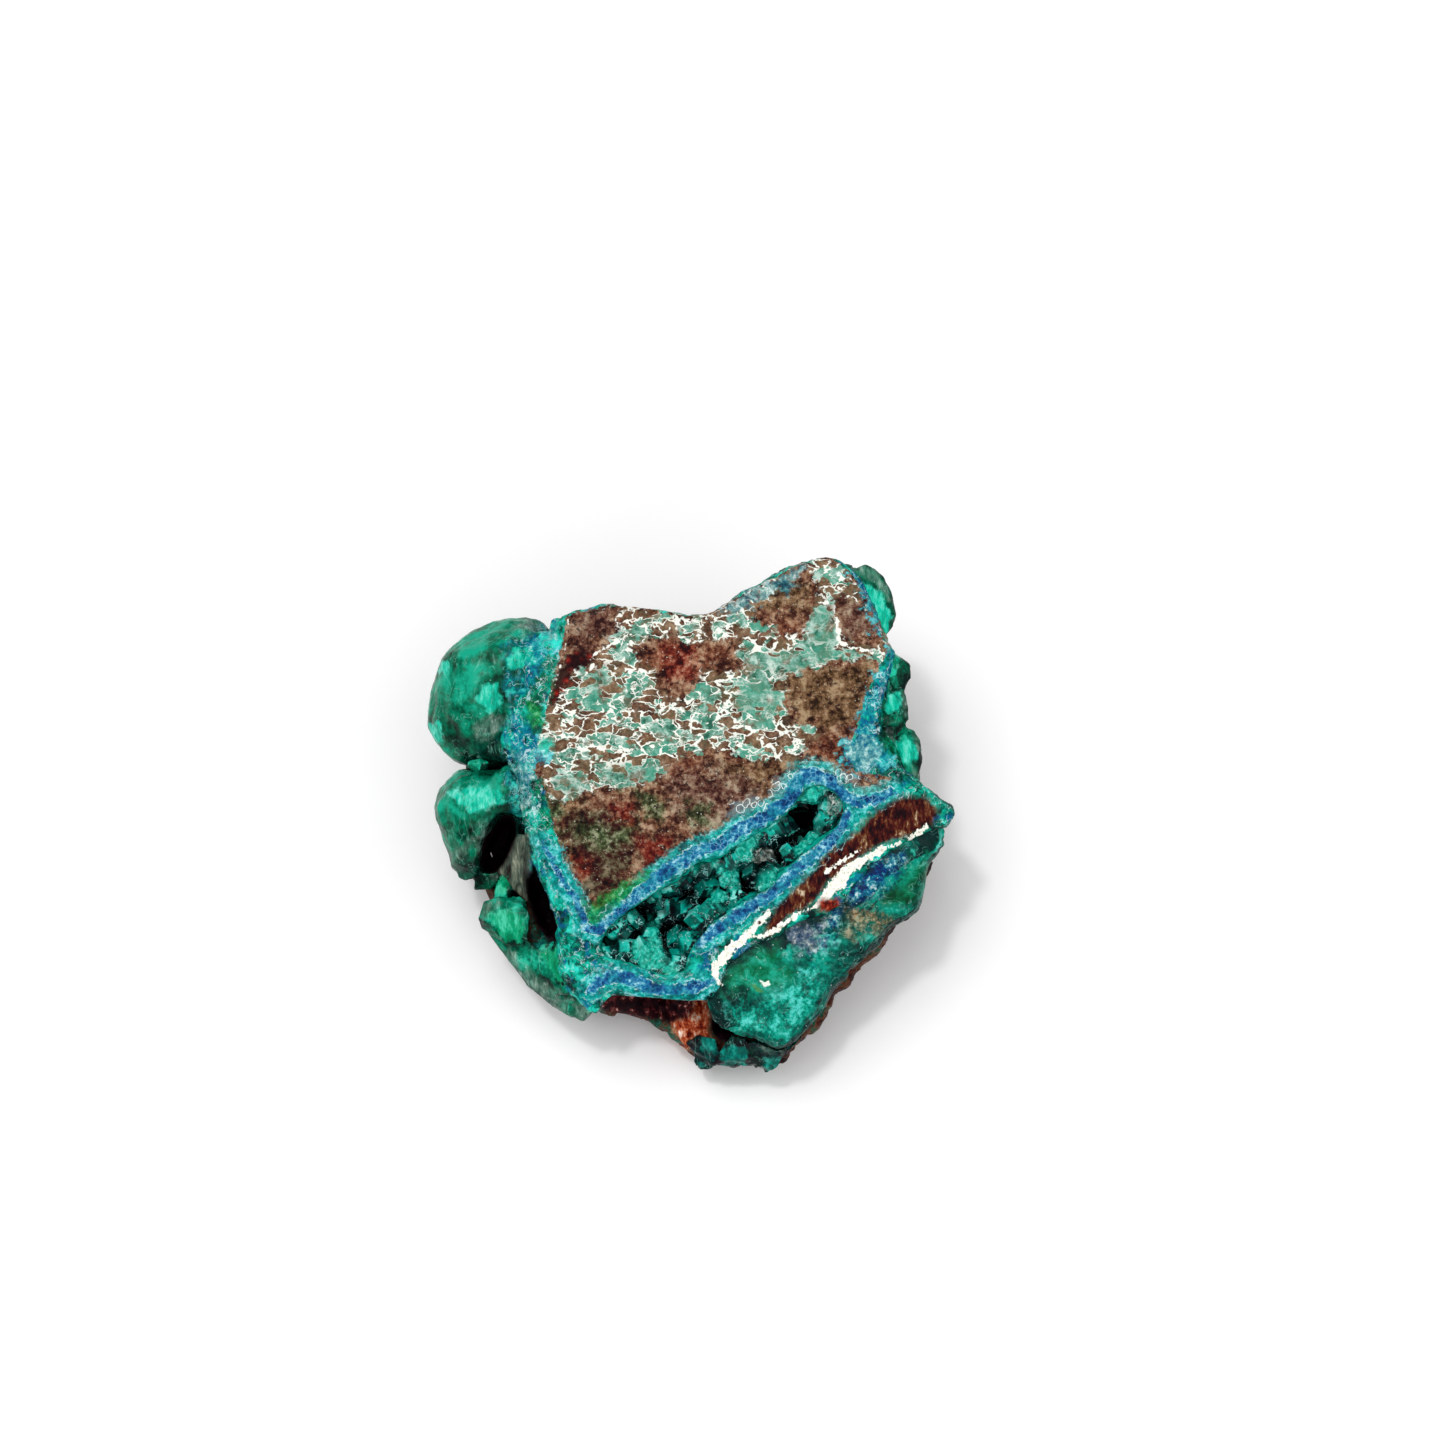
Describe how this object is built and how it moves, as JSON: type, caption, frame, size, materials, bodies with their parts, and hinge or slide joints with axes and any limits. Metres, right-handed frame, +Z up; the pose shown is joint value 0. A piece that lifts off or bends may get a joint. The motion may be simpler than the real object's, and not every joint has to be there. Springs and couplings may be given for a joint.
{
  "type": "dioptase specimen",
  "caption": "Miniature mineral specimen: red-brown copper ore with a flat polished face, a crystal-lined cleft, and green dioptase lobes and crystals round its edges.",
  "frame": {"origin": "centre of the bounding box at the sawn back that the stone rests on", "axes": "+Z up, square to the sawn back; +X to the right and +Y away from a viewer who faces the polished cut face, which leans 20 degrees towards them"},
  "size_m": [0.0531, 0.0491, 0.0278],
  "materials": {
    "ore": "polished cut face with rough broken sides",
    "dioptase": "glassy, deep emerald green, translucent",
    "crust_crystal": "glassy, teal, translucent",
    "pale_crystal": "glassy, pale green, translucent"
  },
  "bodies": {
    "root": {"ore_matrix": "ore", "cleft_crust": "crust_crystal", "upper_left_lobe": "dioptase", "lower_left_lobe": "dioptase", "green_slab": "dioptase", "upper_right_crystals": "dioptase", "right_rim_crystals": "dioptase", "fan_crystals": "dioptase", "foot_crystals": "dioptase", "perched_crystal": "pale_crystal"}
  },
  "joints": []
}
